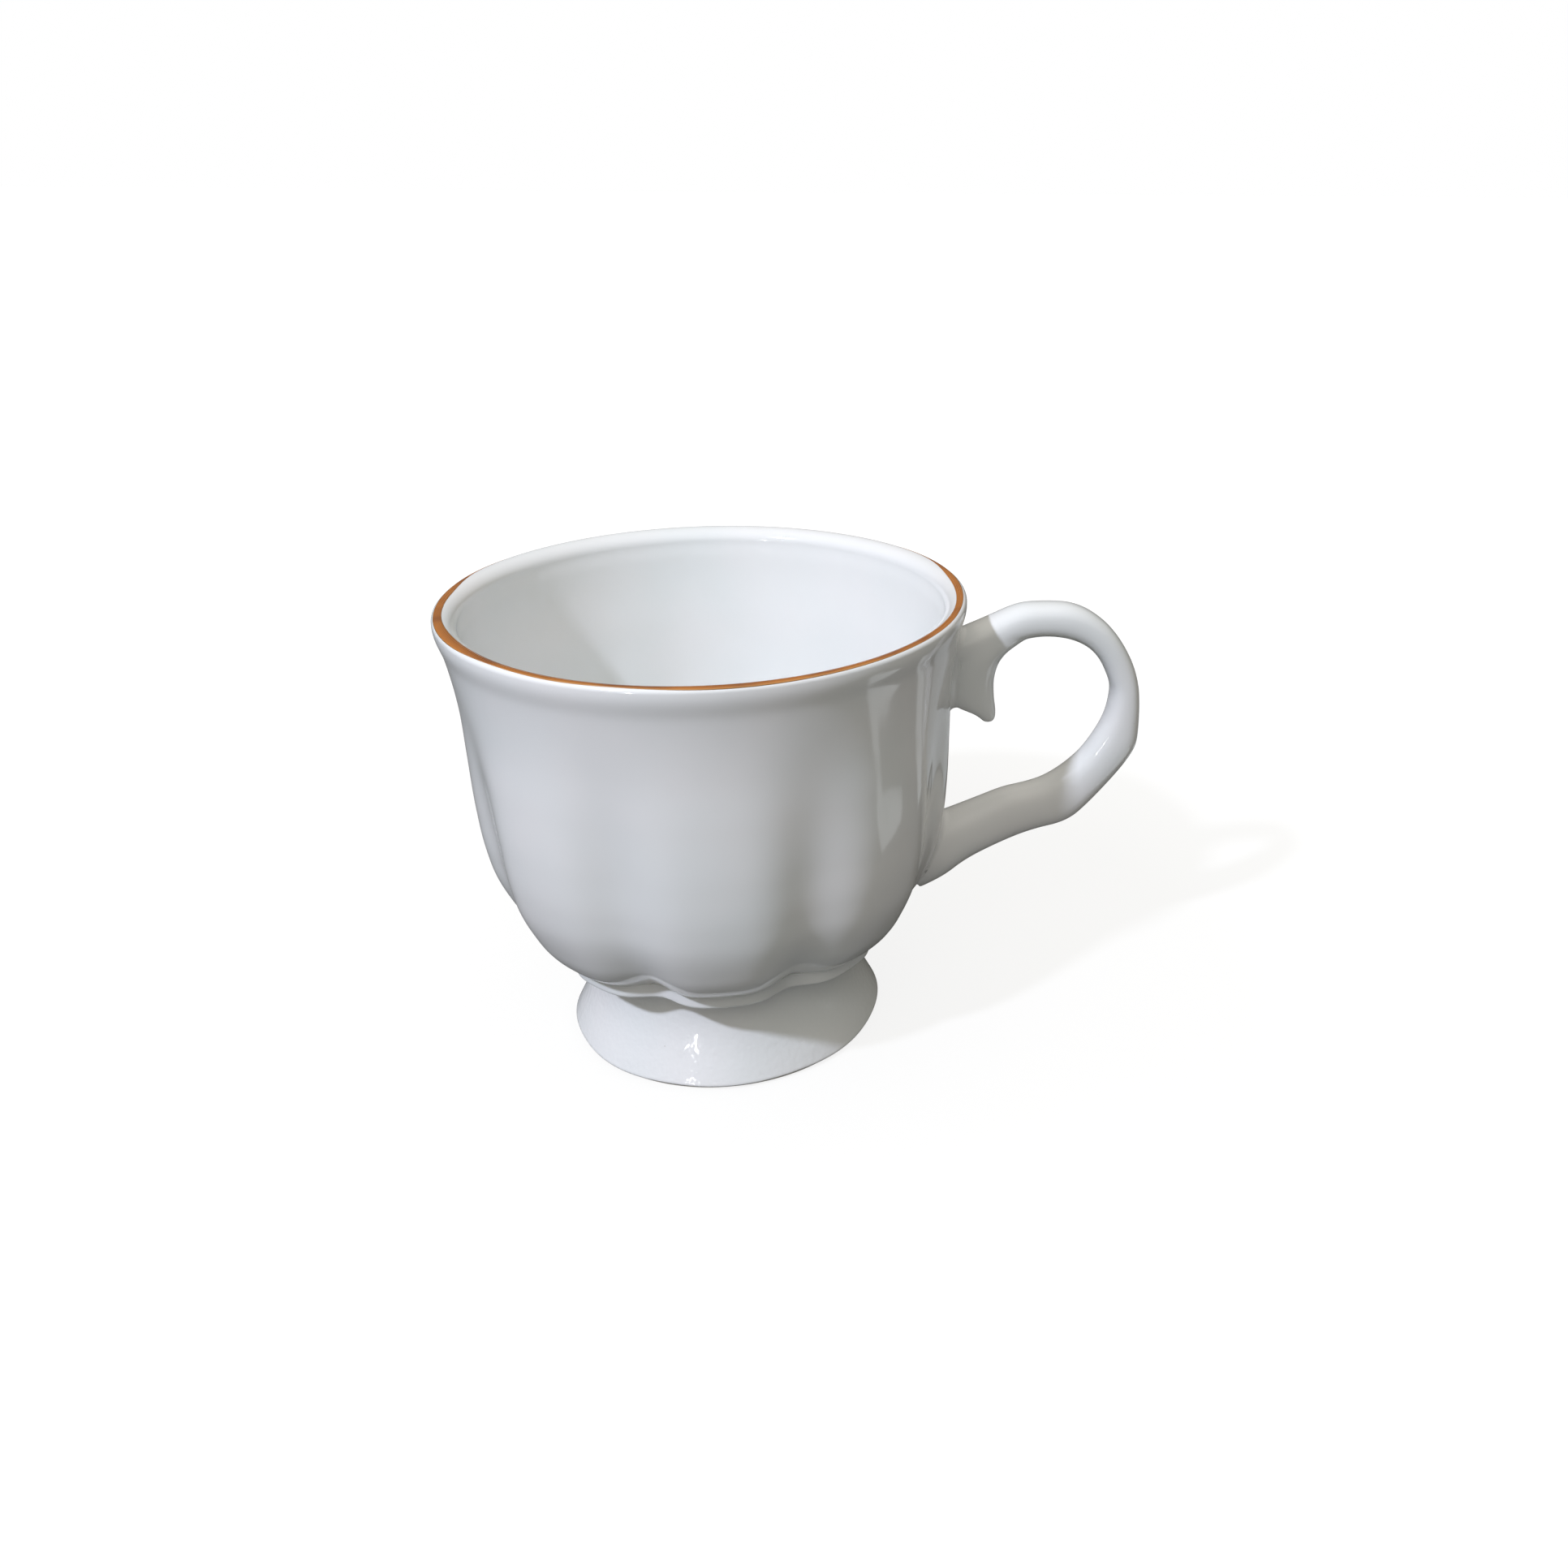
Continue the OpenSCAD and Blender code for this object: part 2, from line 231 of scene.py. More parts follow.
class BowlSettings(PropertyGroup):
    rim_radius: length(BOWL_BOX[1].y / MM, "Rim radius", "Radius of the bowl over the rolled lip")
    top: length(BOWL_BOX[1].z / MM, "Lip height", "Height of the top of the lip above the table")
    bottom: length(BOWL_BOX[0].z / MM, "Edge height", "Height of the bowl's lower edge above the table")
    base_radius: length(30.5, "Base radius", "Radius over the lobes at the bowl's lower edge")
    wall: length(2.4, "Wall", "Thickness of the wall")
    lip_roll: length(0.75, "Lip roll", "Radius of the lip from its crest to the outside")
    lip_inset: length(3.05, "Lip inset", "How far the lip rolls over from its crest to the inside")
    lip_fall: length(2.3, "Lip fall", "How far the lip falls from its crest to the inside")
    thinning: length(14, "Thinning", "Height over which the wall thins from the lip to its own thickness")
    floor: length(3.2, "Floor", "Thickness of the floor")
    floor_curve: length(20, "Floor curve", "Height over which the wall rounds into the floor")
    valley: length(3.5, "Valley depth", "Depth of the valleys between the lobes at the lower edge")
    lobes: IntProperty(name="Lobes", description="Number of lobes round the bowl", default=8, min=3, max=16)
    around: IntProperty(name="Steps round", description="Faces round the bowl", default=320, min=32, max=400)


class RimLineSettings(PropertyGroup):
    height: length(0.05, "Line height", "How far the enamel stands above the glaze")
    colour: shade("#ae681c", "Line colour", "The enamel where it lies evenly")
    deep_colour: shade("#8a4c10", "Deep colour", "The enamel where it lies thick")
    edge_colour: shade("#c6975f", "Edge colour", "The enamel where it thins out at its edges")


class CollarSettings(PropertyGroup):
    radius: length(31.2, "Collar radius", "Radius over the lobes at the collar's lower edge")
    valley: length(2.5, "Valley depth", "Depth of the valleys round the collar")
    band: length(1.9, "Band", "Height of the collar's upright band below the bowl's lower edge")
    seat: length(0.8, "Seat", "How far the band's top reaches up into the bowl")
    edge: length(0.6, "Edge rounding", "Radius of the collar's rounded lower edge")


class FootSettings(PropertyGroup):
    radius: length(28.8, "Foot radius", "Radius at the foot's lower edge")
    top_radius: length(23.9, "Top radius", "Radius at the foot's narrow top")
    wall: length(2.8, "Wall", "Thickness of the foot's wall")
    edge: length(0.5, "Edge rounding", "Radius of the foot's rounded lower edge")
    ridge: length(0.22, "Ridges", "How far the foot's eight soft ridges stand out")
    ring_width: length(2.6, "Ring width", "Width of the unglazed standing ring")


class HandleSettings(PropertyGroup):
    grip: length(5.4, "Grip thickness", "Thickness of the handle at its slimmest place")
    width: length(7.2, "Grip width", "Width of the handle across")
    low_root: length(31, "Lower root height", "Height of the lower root above the table")
    spur_tip: length(0.7, "Spur tip", "How far the spur's rounded tip stands out")
    grain: length(0.34, "Mesh grain", "Size of the faces on the fused handle")
    upper_fillet: length(1.5, "Upper fillet", "Radius of the glaze fillet at the upper root")
    lower_fillet: length(1.3, "Lower fillet", "Radius of the glaze fillet at the lower root")


class GlazeSettings(PropertyGroup):
    colour: shade("#e8e9e9", "Glaze", "The clear glaze over the white body")
    cool_colour: shade("#e2e6e6", "Cool glaze", "The glaze where it lies a little thicker")
    speck_colour: shade("#a59f92", "Specks", "The faint specks in the glaze")
    bare_colour: shade("#ece7dd", "Bare body", "The unglazed ground standing ring")
    smudge_colour: shade("#cfc9be", "Smudges", "Grey from the table on the standing ring")
    roughness: amount(0.09, "Roughness", "Blur of the glaze's reflections", max=1)


class StageSettings(PropertyGroup):
    key_power: amount(10.8, "Key power", "Watts of the small key lamp")
    key_colour: shade("#e8edff", "Key colour", "The small key lamp")
    key_bearing: direction(-47, "Key bearing", "Where the key stands, from the front")
    key_height: direction(44, "Key height", "How high the key stands")
    key_size: length(70, "Key size", "Width of the key lamp")
    key_distance: length(1200, "Key distance", "From the cup to the key lamp")
    ceiling: amount(0.84, "Ceiling", "Light from overhead")
    walls: amount(0.05, "Walls", "Light from the room's walls")
    front: amount(0.03, "Front wall", "How much more comes from the front")
    fill_power: amount(2.0, "Fill power", "Watts of the soft box at the front")
    fill_size: length(600, "Fill size", "Width of the soft box")
    strip_power: amount(0.8, "Strip power", "Watts of the strip that only glints")
    strip_width: length(12, "Strip width", "Width of the strip that only glints")
    strip_height: length(140, "Strip height", "Height of the strip that only glints")
    room_colour: shade("#fffaf0", "Room colour", "The room's even light")
    floor_colour: shade("#70706e", "Floor", "The table, as the cup sees it")
    card_colour: shade("#f7fcff", "Cards", "The bright cards that only the glaze shows")
    glow: amount(0.84, "Glow", "How white the camera sees the table in shadow")


class TeacupSettings(PropertyGroup):
    bowl: PointerProperty(type=BowlSettings)
    rim_line: PointerProperty(type=RimLineSettings)
    collar: PointerProperty(type=CollarSettings)
    foot: PointerProperty(type=FootSettings)
    handle: PointerProperty(type=HandleSettings)
    glaze: PointerProperty(type=GlazeSettings)
    stage: PointerProperty(type=StageSettings)


# Curves through the shaping tables


def mix(a, b, t):
    return a + (b - a) * t


def slope(xs, ys, i):
    """The slope of a smooth curve through a table's points, at one of them."""
    if i == 0:
        return (ys[1] - ys[0]) / (xs[1] - xs[0])
    if i == len(xs) - 1:
        return 0
    before, after = xs[i] - xs[i - 1], xs[i + 1] - xs[i]
    rise_in, rise_out = (ys[i] - ys[i - 1]) / before, (ys[i + 1] - ys[i]) / after
    return (rise_in * after + rise_out * before) / (before + after)


def hermite(a, b, da, db, t):
    """A cubic from a to b that leaves with slope da and arrives with slope db."""
    level = a * (1 + 2 * t) * (1 - t) ** 2 + b * t * t * (3 - 2 * t)
    return level + da * t * (1 - t) ** 2 - db * t * t * (1 - t)


def curve_at(xs, ys, x):
    """A smooth curve through a table's points, at x."""
    i = int(np.clip(np.searchsorted(xs, x, side="right") - 1, 0, len(xs) - 2))
    w = xs[i + 1] - xs[i]
    return hermite(ys[i], ys[i + 1], slope(xs, ys, i) * w, slope(xs, ys, i + 1) * w, (x - xs[i]) / w)


# The bowl's outside, as radius over a lobe and depth of a valley at a height


def lip_point(bowl, offset, rise=0.0):
    """Radius and height on the lip's outline, offset out from its crest, and
    raised off the glaze."""
    across, fall = (bowl.lip_roll, bowl.lip_roll) if offset >= 0 else (bowl.lip_inset, bowl.lip_fall)
    sine = max(-1.0, min(1.0, offset / across))
    cosine = math.sqrt(1 - sine * sine)
    out, up = sine / across, cosine / fall
    scale = rise / math.hypot(out, up)
    crest = bowl.rim_radius - bowl.lip_roll
    return crest + across * sine + out * scale, bowl.top - fall + fall * cosine + up * scale


def bowl_share(bowl, z):
    return min(max((z - bowl.bottom) / (bowl.top - bowl.wall / 2 - bowl.bottom), 0), 1)


def lobe_radius(bowl, z):
    return mix(bowl.base_radius, bowl.rim_radius, curve_at(BOWL_HEIGHTS, BOWL_REACHES, bowl_share(bowl, z)))


def valley_depth(bowl, z):
    return bowl.valley * curve_at(BOWL_HEIGHTS, VALLEY_DEPTHS, bowl_share(bowl, z))


def wall_radius(bowl, angle, z):
    pressed = valley_depth(bowl, z) * ((1 - math.cos(bowl.lobes * angle)) / 2) ** VALLEY_POWER
    return lobe_radius(bowl, z) - pressed


def wall_point(bowl, angle, z):
    r = wall_radius(bowl, angle, z)
    return Vector((r * math.cos(angle), r * math.sin(angle), z))


# Helpers for trees, meshes and finished pieces


def add_node(tree, kind, inputs=(), output=0, **settings):
    """Adds a node with its own settings, and values or links for its inputs, named
    or in their order. Gives the output that is asked for, or all of them for None.
    A shader node's kind goes without its prefix."""
    node = tree.nodes.new(kind if "Node" in kind else "ShaderNode" + kind)
    for name, value in settings.items():
        setattr(node, name, value)
    for key, value in inputs.items() if isinstance(inputs, dict) else enumerate(inputs):
        if isinstance(value, bpy.types.NodeSocket):
            tree.links.new(value, node.inputs[key])
        else:
            node.inputs[key].default_value = value
    return node.outputs if output is None or not len(node.outputs) else node.outputs[output]


def clear_tree(owner):
    """Empties the tree of a material or a world, and gives what adds nodes to it."""
    owner.use_nodes = True
    owner.node_tree.nodes.clear()
    return partial(add_node, owner.node_tree)


def mesh_from(name, points, faces):
    mesh = bpy.data.meshes.new(name)
    mesh.from_pydata([tuple(p) for p in points], [], faces)
    mesh.update()
    return mesh


def put_in_scene(name, data):
    thing = bpy.data.objects.new(name, data)
    bpy.context.scene.collection.objects.link(thing)
    return thing


def close_up(mesh):
    """Merges doubles and turns the faces outwards, and the mesh is smooth."""
    work = bmesh.new()
    work.from_mesh(mesh)
    bmesh.ops.remove_doubles(work, verts=work.verts, dist=MERGE_DISTANCE)
    if work.calc_volume(signed=True) < 0:
        bmesh.ops.reverse_faces(work, faces=work.faces)
    for f in work.faces:
        f.smooth = True
    work.to_mesh(mesh)
    work.free()


def made_of(surface):
    """The material that is named for the function that makes its surface."""
    material = bpy.data.materials.get(surface.__name__)
    if not material:
        material = bpy.data.materials.new(surface.__name__)
        add = clear_tree(material)
        place = add("TexCoord", output="Object")
        add("OutputMaterial", {"Surface": surface(add, place, bpy.context.scene.teacup)})
    return material


def finish_piece(name, mesh, node, slot="glaze"):
    """Puts a finished mesh in the scene on the root body, and hides the CAD node's part that it stands in
    for.
    """
    mesh.materials.clear()
    mesh.materials.append(made_of(SURFACES[slot]))
    close_up(mesh)
    piece = put_in_scene(name, mesh)
    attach(piece, "root")
    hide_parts(node)
    return piece


def baked_mesh(piece):
    """The plain mesh that a piece's modifiers make. The piece itself goes."""
    depsgraph = bpy.context.evaluated_depsgraph_get()
    mesh = bpy.data.meshes.new_from_object(piece.evaluated_get(depsgraph))
    bpy.data.objects.remove(piece)
    return mesh


def grid_faces(rows, columns, wrap_rows=False):
    """Faces of a sheet of points whose columns close on themselves."""
    corners = [
        (r * columns, (r + 1) % rows * columns, c, (c + 1) % columns)
        for r in range(rows if wrap_rows else rows - 1)
        for c in range(columns)
    ]
    return [(low + c, low + d, high + d, high + c) for low, high, c, d in corners]


def loft(name, rings):
    """A closed tube over rings of points, its ends closed by fans."""
    rows, columns = len(rings), len(rings[0])
    points = [p for ring in rings for p in ring]
    faces = grid_faces(rows, columns)
    for row in (0, rows - 1):
        middle = len(points)
        points.append(np.mean(np.array(rings[row]), axis=0))
        for c in range(columns):
            side = (row * columns + c, row * columns + (c + 1) % columns)
            faces.append((middle, *(side if row else side[::-1])))
    return mesh_from(name, points, faces)


# Turned pieces: an outline swept round the axis, pressed in along its valleys


def turning_tree():
    """The tree that turns an outline round the axis and presses valleys into it."""
    tree = bpy.data.node_groups.new("Scalloped turning", "GeometryNodeTree")
    for name, kind in (
        ("Outline", "NodeSocketGeometry"),
        ("Steps round", "NodeSocketInt"),
        ("Lobes", "NodeSocketFloat"),
        ("Valley power", "NodeSocketFloat"),
    ):
        tree.interface.new_socket(name, in_out="INPUT", socket_type=kind)
    tree.interface.new_socket("Turned", in_out="OUTPUT", socket_type="NodeSocketGeometry")
    add = partial(add_node, tree)
    given = add("NodeGroupInput", output=None)
    rows = add("GeometryNodeAttributeDomainSize", (given["Outline"],), "Point Count", component="MESH")
    columns = add("Math", (given["Steps round"], 1.0), operation="ADD")
    sheet = add("GeometryNodeMeshGrid", {"Vertices X": columns, "Vertices Y": rows}, "Mesh")
    position = add("GeometryNodeInputPosition")
    place = add("SeparateXYZ", (position,), None)
    turn, along = (add("Math", (place[axis], 0.5), operation="ADD") for axis in "XY")
    angle = add("Math", (turn, math.tau), operation="MULTIPLY")
    last = add("Math", (rows, 1.0), operation="SUBTRACT")
    row = add("Math", (along, last), operation="MULTIPLY")
    row = add("Math", (row,), operation="ROUND")
    at_row = {"Geometry": given["Outline"], "Index": row}
    spot = add("GeometryNodeSampleIndex", {**at_row, "Value": position}, "Value", data_type="FLOAT_VECTOR")
    spot = add("SeparateXYZ", (spot,), None)
    depth = add("GeometryNodeInputNamedAttribute", {"Name": "valley"}, data_type="FLOAT")
    depth = add("GeometryNodeSampleIndex", {**at_row, "Value": depth}, "Value", data_type="FLOAT")
    wave = angle
    for operation, values in (
        ("MULTIPLY", (given["Lobes"],)),
        ("COSINE", ()),
        ("MULTIPLY_ADD", (-0.5, 0.5)),
        ("MAXIMUM", (0.0,)),
        ("POWER", (given["Valley power"],)),
    ):
        wave = add("Math", (wave, *values), operation=operation)
    pressed = add("Math", (depth, wave), operation="MULTIPLY")
    radius = add("Math", (spot["X"], pressed), operation="SUBTRACT")
    axes = {"Z": spot["Z"]}
    for axis, operation in (("X", "COSINE"), ("Y", "SINE")):
        share = add("Math", (angle,), operation=operation)
        axes[axis] = add("Math", (radius, share), operation="MULTIPLY")
    point = add("CombineXYZ", axes)
    turned = add("GeometryNodeSetPosition", {"Geometry": sheet, "Position": point})
    closed = add("GeometryNodeMergeByDistance", {"Geometry": turned, "Distance": MERGE_DISTANCE})
    add("NodeGroupOutput", (closed,))
    return tree


def turned_mesh(outline, bowl, power):
    """Turns an outline of (radius, height, valley depth) rows into a mesh."""
    mesh = bpy.data.meshes.new("outline")
    mesh.from_pydata([(r, 0, z) for r, z, _ in outline], [(i, i + 1) for i in range(len(outline) - 1)], [])
    mesh.attributes.new("valley", "FLOAT", "POINT").data.foreach_set("value", [v for _, _, v in outline])
    blank = put_in_scene("outline", mesh)
    tree = bpy.data.node_groups.get("Scalloped turning") or turning_tree()
    turning = blank.modifiers.new("Turning", "NODES")
    turning.node_group = tree
    given = {"Steps round": bowl.around, "Lobes": float(bowl.lobes), "Valley power": power}
    for socket in tree.interface.items_tree:
        if socket.in_out == "INPUT" and socket.name in given:
            turning[socket.identifier] = given[socket.name]
    return baked_mesh(blank)


def arc(middle_r, middle_z, radius, start, end, steps, valley=0.0):
    """Outline rows on an arc, from start to end in degrees from outwards."""
    turns = np.radians(np.linspace(start, end, steps))
    return [(middle_r + radius * math.cos(a), middle_z + radius * math.sin(a), valley) for a in turns]


# Materials


def glazed_porcelain(add, place, settings):
    """Transparent gloss glaze over fired white porcelain: a bright, slightly cool
    white with sharp reflections that waver a little over the brushed-on glaze."""
    settings = settings.glaze
    noises = []
    # The glaze's uneven load, its long swell, its ripple and its orange peel
    patterns = (26.0, 2.0, 0.45), (14.0, 1.0, 0.5), (3.2, 1.0, 0.4), (1.1, 1.0, 0.5)
    for size_mm, detail, roughness in patterns:
        noise = {"Vector": place, "Scale": 1 / (size_mm * MM), "Detail": detail, "Roughness": roughness}
        noises.append(add("TexNoise", noise, "Fac"))
    cloud, swell, ripple, peel = noises
    thick = add("MapRange", {"Value": cloud, "From Min": 0.35, "From Max": 0.65})
    whites = {"Factor": thick, 6: settings.colour, 7: settings.cool_colour}
    white = add("Mix", whites, 2, data_type="RGBA")
    # One cell in five has a speck, a small share of the cell across
    cell_mm, core, edge, kept_cells, strength = 5.5, 0.018, 0.03, 0.8, 0.35
    cells = {"Vector": place, "Scale": 1 / (cell_mm * MM), "Randomness": 1.0}
    cells = add("TexVoronoi", cells, None)
    dot = {"Value": cells["Distance"], "From Min": core, "From Max": edge, "To Min": 1.0, "To Max": 0.0}
    dot = add("MapRange", dot)
    some = add("SeparateColor", (cells["Color"],))
    some = add("Math", (some, kept_cells), operation="GREATER_THAN")
    speck = add("Math", (dot, some), operation="MULTIPLY")
    speck = add("Math", (speck, strength), operation="MULTIPLY")
    marks = {"Factor": speck, 6: white, 7: settings.speck_colour}
    marked = add("Mix", marks, 2, data_type="RGBA")
    # The peel shows on the foot alone, between these heights it fades out
    swell_share, peel_share, peel_full, peel_end = 6.0, 11.0, 14 * MM, 19 * MM
    height = add("Math", (swell, swell_share, ripple), operation="MULTIPLY_ADD")
    low = {"Value": add("SeparateXYZ", (place,), "Z"), "From Min": peel_full, "From Max": peel_end}
    low = add("MapRange", {**low, "To Min": peel_share, "To Max": 0.0})
    height = add("Math", (peel, low, height), operation="MULTIPLY_ADD")
    relief = add("Bump", {"Strength": 0.5, "Distance": 0.012 * MM, "Height": height})
    blur = {"To Min": settings.roughness * 0.7, "To Max": settings.roughness * 1.4}
    gloss = add("MapRange", {"Value": cloud, **blur})
    skin = {"Base Color": marked, "Roughness": gloss, "Normal": relief, "IOR": 1.52}
    return add("BsdfPrincipled", skin)


def brushed_enamel(add, place, settings):
    """Overglaze enamel put on the lip with a banding brush: a glossy orange brown
    that is darker where it lies thick and pale where its edges thin out."""
    settings = settings.rim_line
    load_mm, streaks, streak_length, waver = 9.0, 5.0, 1.6, 0.5
    load = add("TexNoise", {"Vector": place, "Scale": 1 / (load_mm * MM), "Detail": 2.0}, "Fac")
    spot = add("SeparateXYZ", (place,), None)
    bearing = add("Math", (spot["Y"], spot["X"]), operation="ARCTAN2")
    across, edge = (
        add("Attribute", output="Fac", attribute_name=name, attribute_type="GEOMETRY")
        for name in ("across", "thickness")
    )
    across = add("Math", (across, streaks), operation="MULTIPLY")
    brush = add("CombineXYZ", {"X": across, "Y": bearing})
    stroke = add("TexNoise", {"Vector": brush, "Scale": streak_length, "Detail": 2.0}, "Fac")
    wavy = add("Math", (stroke, waver, -waver / 2), operation="MULTIPLY_ADD")
    body = add("Math", (edge, wavy), operation="ADD")
    body = add("MapRange", {"Value": body, "From Min": 0.02, "From Max": 0.6})
    thick = add("MapRange", {"Value": load, "From Min": 0.45, "From Max": 0.7})
    browns = {"Factor": thick, 6: settings.colour, 7: settings.deep_colour}
    deep = add("Mix", browns, 2, data_type="RGBA")
    line = {"Factor": body, 6: settings.edge_colour, 7: deep}
    line = add("Mix", line, 2, data_type="RGBA")
    relief = add("Bump", {"Strength": 0.3, "Distance": 0.02 * MM, "Height": stroke})
    gloss = add("MapRange", {"Value": stroke, "To Min": 0.18, "To Max": 0.34})
    skin = {"Base Color": line, "Roughness": gloss, "Normal": relief, "IOR": 1.55}
    return add("BsdfPrincipled", skin)


def ground_bisque(add, place, settings):
    """Unglazed porcelain ground flat after firing: a dull cream with a fine grain
    that picks up a little grey from the table."""
    grain_mm, smudge_mm = 0.35, 7.0
    grain, smudge = (
        add("TexNoise", {"Vector": place, "Scale": 1 / (size_mm * MM), "Detail": 3.0}, "Fac")
        for size_mm in (grain_mm, smudge_mm)
    )
    dirt = add("MapRange", {"Value": smudge, "From Min": 0.5, "From Max": 0.75, "To Max": 0.6})
    creams = {"Factor": dirt, 6: settings.glaze.bare_colour, 7: settings.glaze.smudge_colour}
    body = add("Mix", creams, 2, data_type="RGBA")
    relief = add("Bump", {"Strength": 0.6, "Distance": 0.05 * MM, "Height": grain})
    rough = add("MapRange", {"Value": grain, "To Min": 0.7, "To Max": 0.92})
    skin = {"Base Color": body, "Roughness": rough, "Normal": relief}
    return add("BsdfPrincipled", skin)


def matt_table(add, place, settings):
    """A matt pale table that the camera sees as white, with its shadows."""
    stage = settings.stage
    matt = add("BsdfDiffuse", {"Color": stage.floor_colour})
    away = add("VectorMath", (place,), "Value", operation="LENGTH")
    near, far = FLOOR_FADE
    fade = {"Value": away, "From Min": near, "From Max": far, "To Min": stage.glow, "To Max": 1.0}
    glow = add("Emission", {"Color": (1, 1, 1, 1), "Strength": add("MapRange", fade)})
    lifted = add("AddShader", (matt, glow))
    return add("MixShader", (add("LightPath", output="Is Camera Ray"), matt, lifted))


# What the pieces' slots are made of
SURFACES = {"glaze": glazed_porcelain, "enamel": brushed_enamel, "bisque": ground_bisque}

# The handle's loop, its thumb spur and its fillets


def loop_value(i, t, k):
    """One of the loop table's columns, on the way from station i to the next."""

    def station(j):
        return LOOP[min(max(j, 0), len(LOOP) - 1)][k]

    a, b = station(i), station(i + 1)
    return hermite(a, b, (b - station(i - 1)) / 2, (station(i + 2) - a) / 2, t)


def softened(points):
    """An outline in metres, its corners cut twice over so that they are soft."""
    line = np.array(points, float) * MM
    for _ in range(2):
        a, b = line[:-1], line[1:]
        cut = np.stack((mix(a, b, 0.25), mix(a, b, 0.75)), axis=1).reshape(-1, 2)
        line = np.vstack((line[:1], cut, line[-1:]))
    return line


def reach_to(outline, middle, side, usual):
    """How far an outline lies from the middle line, square to it, or the usual
    half thickness where it isn't met."""
    start, run = outline[:-1] - middle, np.diff(outline, axis=0)
    cross = side[0] * run[:, 1] - side[1] * run[:, 0]
    far = (start[:, 0] * run[:, 1] - start[:, 1] * run[:, 0]) / cross
    along = (start[:, 0] * side[1] - start[:, 1] * side[0]) / cross
    met = far[(along >= 0) & (along <= 1) & (far > 0) & (far < 2 * usual)]
    return met.min() if len(met) else usual


def handle_ring(middle, side, half_t, half_w, sides=48):
    """A ring of points round the handle, square to its middle line."""
    turns = np.arange(sides) * math.tau / sides
    cosine, sine = np.cos(turns), np.sin(turns)
    far = (np.abs(cosine) ** SQUARENESS + np.abs(sine) ** SQUARENESS) ** (-1 / SQUARENESS)
    flat = middle + np.outer(cosine * far * half_t, side)
    return np.stack((flat[:, 0], sine * far * half_w, flat[:, 1]), axis=1)


def loop_rings(settings, steps=8):
    """Rings of points along the loop, each as thick as the two outlines say."""
    handle = settings.handle
    reach, top = HANDLE_BOX[1].x - handle.grip / 2, HANDLE_BOX[1].z
    root = lobe_radius(settings.bowl, (top + handle.low_root) / 2)
    crest = top - handle.grip / 2 * LOOP[4][2]
    outer, inner = softened(OUTER_EDGE), softened(INNER_EDGE)
    stops = [(i, s / steps) for i in range(len(LOOP) - 1) for s in range(steps)] + [(len(LOOP) - 2, 1.0)]
    across = [mix(root, reach, loop_value(i, t, 0)) for i, t in stops]
    up = [mix(handle.low_root, crest, loop_value(i, t, 1)) for i, t in stops]
    middles = np.stack((across, up), axis=1)
    runs = np.gradient(middles, axis=0)
    runs /= np.linalg.norm(runs, axis=1)[:, None]
    power = SQUARENESS / (SQUARENESS - 1)
    rings = []
    for (i, t), middle, run in zip(stops, middles, runs):
        usual = loop_value(i, t, 2) * handle.grip / 2
        half_w = loop_value(i, t, 3) * handle.width / 2
        side = np.array((run[1], -run[0]))
        inwards, outwards = reach_to(inner, middle, side, usual), reach_to(outer, middle, -side, usual)
        seen = (inwards + outwards) / 2
        from_width = (half_w * mix(*WIDTH_SEEN, abs(side[1]))) ** power
        half_t = max(seen**power - from_width, (LEAST_THICKNESS * seen) ** power) ** (1 / power)
        rings.append(handle_ring(middle + side * (inwards - outwards) / 2, side, half_t, half_w))
    return rings


def spur_rings(settings, steps=40, cap_steps=8):
    """Rings of points down the thumb spur, drawn in to its rounded tip."""
    columns = [np.array(column, float) * MM for column in zip(*SPUR)]
    stops = np.arange(len(SPUR))
    rings = []
    for t in np.linspace(0, len(SPUR) - 1, steps):
        front_x, front_z, back_x, back_z, half_w = (curve_at(stops, column, t) for column in columns)
        front, back = np.array((front_x, front_z)), np.array((back_x, back_z))
        half_t = np.linalg.norm(front - back) / 2
        side = (front - back) / (2 * half_t)
        middle = (front + back) / 2
        rings.append(handle_ring(middle, side, half_t, half_w))
    ahead = np.array((side[1], -side[0])) * settings.handle.spur_tip
    for a in np.linspace(0, math.pi / 2, cap_steps + 1)[1:-1]:
        drawn = math.cos(a)
        rings.append(handle_ring(middle + ahead * math.sin(a), side, half_t * drawn, half_w * drawn))
    return rings


def wall_normal(bowl, angle, z, step=0.2 * MM, turn=0.002):
    """The direction out of the bowl's wall."""
    round_wall = wall_point(bowl, angle + turn, z) - wall_point(bowl, angle - turn, z)
    up_wall = wall_point(bowl, angle, z + step) - wall_point(bowl, angle, z - step)
    return round_wall.cross(up_wall).normalized()


